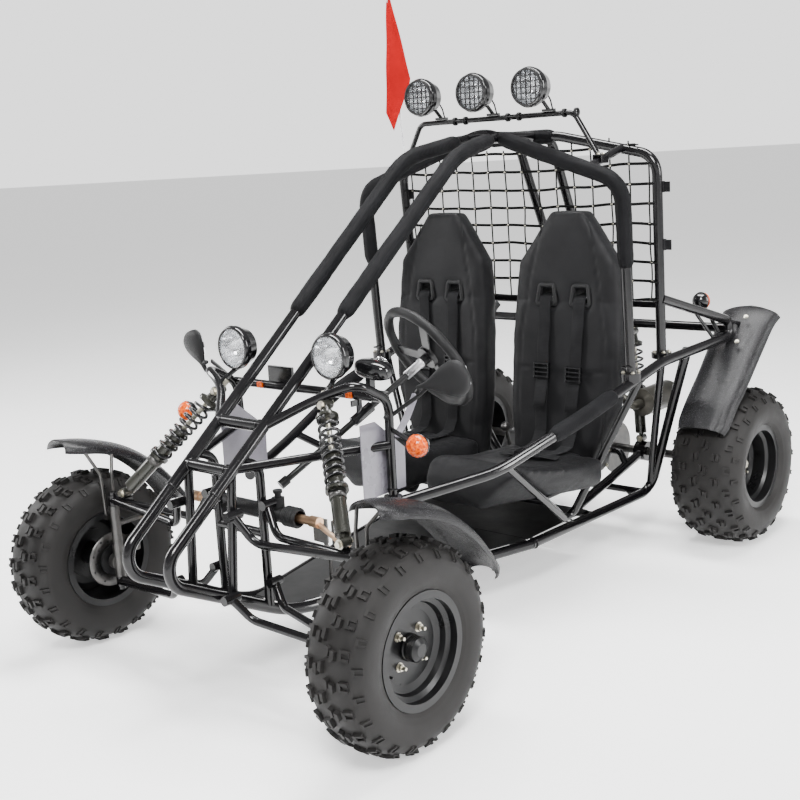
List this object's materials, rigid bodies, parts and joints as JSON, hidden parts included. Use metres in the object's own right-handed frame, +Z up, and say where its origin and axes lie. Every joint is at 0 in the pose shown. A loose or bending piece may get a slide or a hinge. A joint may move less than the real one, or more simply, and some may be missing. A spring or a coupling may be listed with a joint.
{
  "type": "two-seat off-road go-kart with roll cage",
  "caption": "Off-road go-kart with a tubular roll cage, seats side by side, knobby tyres, coil-over front arms and a live rear axle.",
  "frame": {"origin": "on the ground, in the middle of the outline of the whole kart", "axes": "+Z up, -Y forward, +X the kart's left"},
  "size_m": [1.408, 2.3288, 2.0102],
  "materials": {
    "black_paint": "gloss",
    "black_rim": "satin",
    "tyre": "matte",
    "steel": "satin",
    "zinc": "satin",
    "spring_paint": "gloss",
    "foam": "matte",
    "seat_cover": "matte",
    "webbing": "matte",
    "plastic": "matte",
    "pale_plastic": "matte",
    "gloss_plastic": "gloss",
    "amber": "gloss",
    "lens": "clear",
    "aluminium": "satin",
    "red_cloth": "matte",
    "white_rod": "gloss",
    "muffler_paint": "satin"
  },
  "bodies": {
    "chassis": {"arms_lower": "black_paint", "arms_upper": "black_paint", "cage_bars": "black_paint", "cage_hoops": "black_paint", "cage_pads": "foam", "cargo_net": "webbing", "chain_drive": "steel", "controls": "steel", "dampers": "zinc", "dash": "black_paint", "engine": "aluminium", "exhaust": "muffler_paint", "flag_whip": "white_rod", "floor_pan": "black_paint", "frame_floor": "black_paint", "frame_front": "black_paint", "frame_sides": "black_paint", "frame_spine": "black_paint", "headlights": "gloss_plastic", "lamp_grilles": "gloss_plastic", "lamp_lenses": "lens", "light_bar": "black_paint", "mirror_and_signal_arms": "black_paint", "mirrors": "gloss_plastic", "pennant": "red_cloth", "rear_brackets": "black_paint", "rear_fender_left": "plastic", "rear_fender_right": "plastic", "roof_lamps": "gloss_plastic", "seat_back_left": "seat_cover", "seat_back_right": "seat_cover", "seat_belts": "webbing", "seat_cushion_left": "seat_cover", "seat_cushion_right": "seat_cover", "seat_frames": "black_paint", "side_panels": "pale_plastic", "springs": "spring_paint", "steering_rack": "steel", "swing_arm": "black_paint", "turn_signals": "amber"},
    "knuckle_left": {"knuckle_left": "steel", "front_fender_left": "plastic"},
    "knuckle_right": {"knuckle_right": "steel", "front_fender_right": "plastic"},
    "wheel_front_left": {"tyre_front_left": "tyre", "rim_front_left": "black_rim", "hub_front_left": "steel"},
    "wheel_front_right": {"tyre_front_right": "tyre", "rim_front_right": "black_rim", "hub_front_right": "steel"},
    "rear_axle": {"rear_axle": "steel", "tyre_rear_left": "tyre", "tyre_rear_right": "tyre", "rim_rear_left": "black_rim", "rim_rear_right": "black_rim"},
    "rack": {"rack_and_tie_rods": "zinc"},
    "steering_wheel": {"steering_column": "steel", "steering_rim": "foam"}
  },
  "joints": [
    {"name": "steer_left", "type": "hinge", "parent": "chassis", "child": "knuckle_left", "pos_m": [0.48, -0.9065, 0.257], "axis": [0, 0, 1], "range_deg": [-28, 28]},
    {"name": "steer_right", "type": "hinge", "parent": "chassis", "child": "knuckle_right", "pos_m": [-0.48, -0.9065, 0.257], "axis": [0, 0, 1], "range_deg": [-28, 28]},
    {"name": "rack_slide", "type": "slide", "parent": "chassis", "child": "rack", "axis": [1, 0, 0], "range_m": [-0.052, 0.052]},
    {"name": "steering_wheel_turn", "type": "hinge", "parent": "chassis", "child": "steering_wheel", "pos_m": [0.255, -0.3325, 0.819], "axis": [0.2751, 0.8165, 0.5076], "range_deg": [-140, 140]},
    {"name": "spin_front_left", "type": "hinge", "parent": "knuckle_left", "child": "wheel_front_left", "pos_m": [0.6035, -0.9065, 0.257], "axis": [1, 0, 0], "continuous": true},
    {"name": "spin_front_right", "type": "hinge", "parent": "knuckle_right", "child": "wheel_front_right", "pos_m": [-0.6035, -0.9065, 0.257], "axis": [1, 0, 0], "continuous": true},
    {"name": "spin_rear", "type": "hinge", "parent": "chassis", "child": "rear_axle", "pos_m": [0, 0.8935, 0.27], "axis": [1, 0, 0], "continuous": true}
  ],
  "couplings": [
    {"joint": "steer_right", "follows": "steer_left", "ratio": 1},
    {"joint": "rack_slide", "follows": "steer_left", "m_per_rad": -0.1037},
    {"joint": "steering_wheel_turn", "follows": "steer_left", "ratio": 5}
  ]
}
